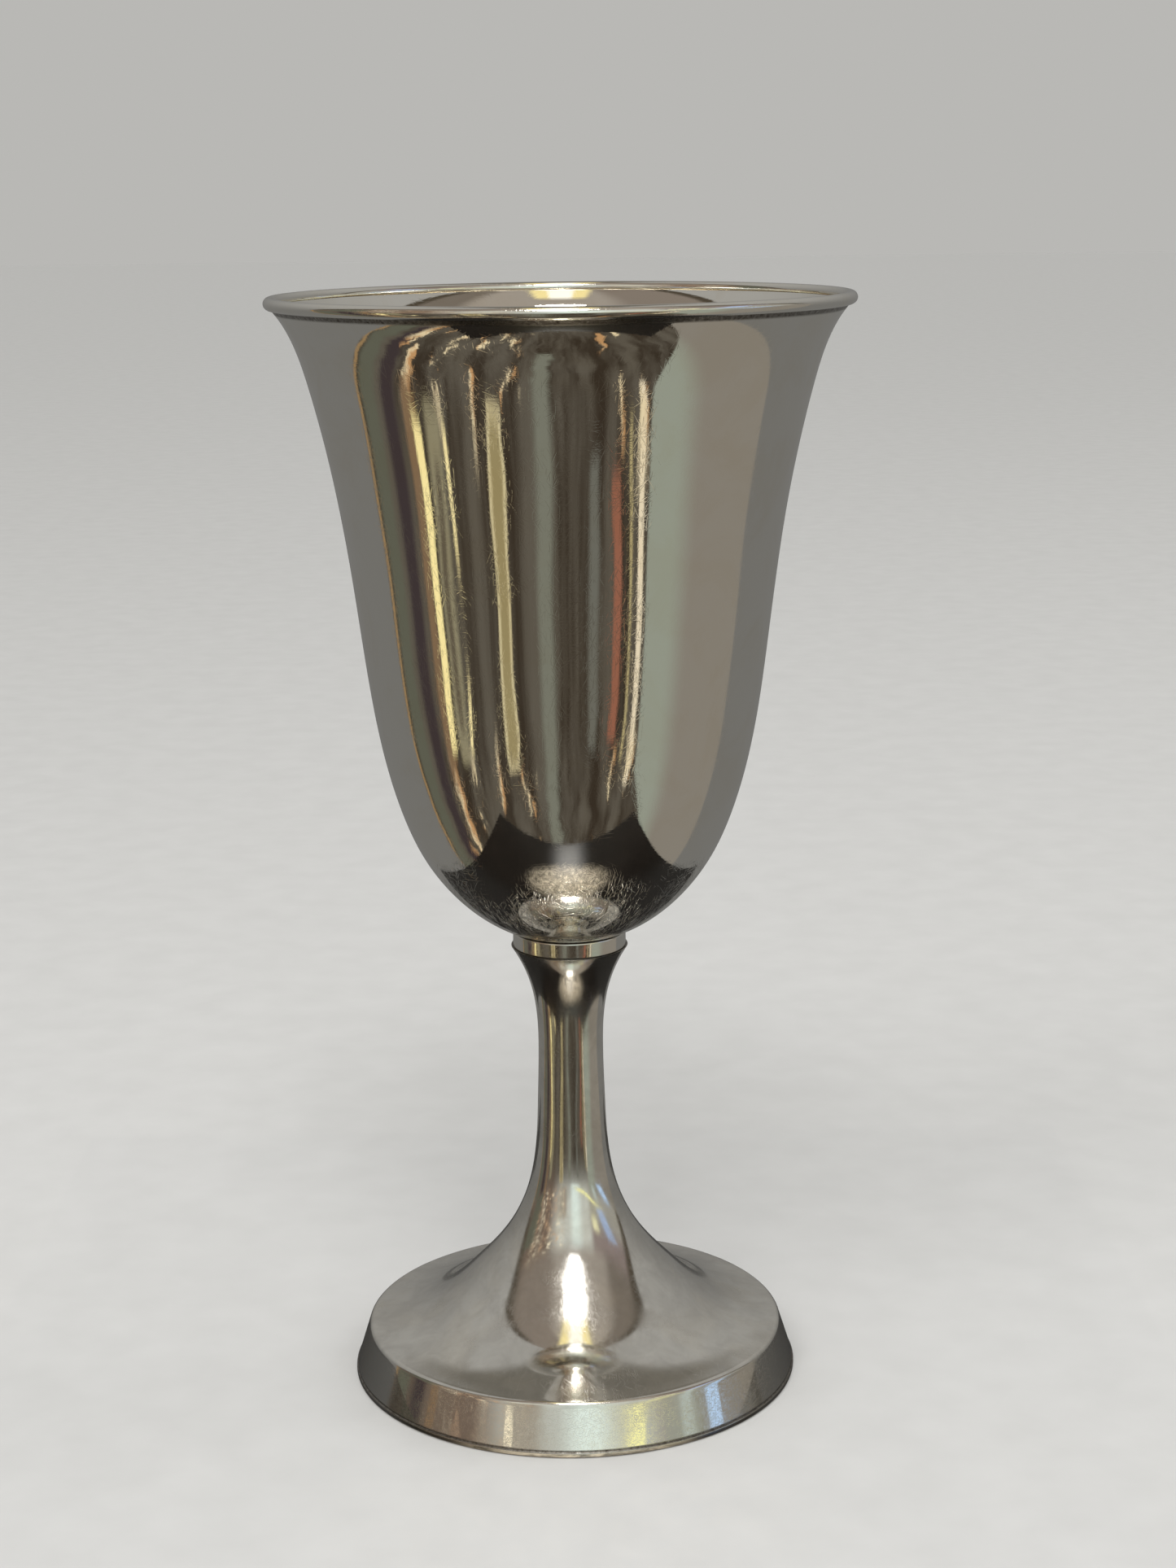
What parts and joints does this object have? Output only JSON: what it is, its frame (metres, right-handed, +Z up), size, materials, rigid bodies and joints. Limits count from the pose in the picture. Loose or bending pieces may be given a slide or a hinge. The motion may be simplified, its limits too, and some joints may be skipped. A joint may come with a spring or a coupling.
{
  "type": "communion chalice",
  "caption": "Plain goblet chalice: bell-shaped bowl with a beaded flared lip, short collar, slim hollow stem and a flared foot with a slanted band.",
  "frame": {"origin": "middle of the circle that the foot stands on", "axes": "+Z up along the turning axis, out of the bowl's mouth; +X and +Y are level and any turn about Z looks the same from outside"},
  "size_m": [0.0886, 0.0886, 0.1715],
  "materials": {
    "silver_plate_bowl": "mirror-polished silver plate, faint hairlines",
    "silver_plate_collar": "mirror-polished silver plate, dark tarnish in its crevices",
    "silver_plate_foot": "polished silver plate, slightly hazed by handling",
    "turned_brass": "turned, unplated",
    "zinc_plated_steel": "dull zinc plate"
  },
  "bodies": {
    "root": {"bowl": "silver_plate_bowl", "rim_wire": "silver_plate_bowl", "collar": "silver_plate_collar", "stem_foot": "silver_plate_foot", "foot_band": "silver_plate_foot", "foot_wire": "silver_plate_foot", "bowl_boss": "turned_brass", "stem_cap": "turned_brass", "clamp_washer": "turned_brass", "tie_stud": "zinc_plated_steel", "spring_washer": "zinc_plated_steel", "clamp_nut": "zinc_plated_steel"}
  },
  "joints": []
}
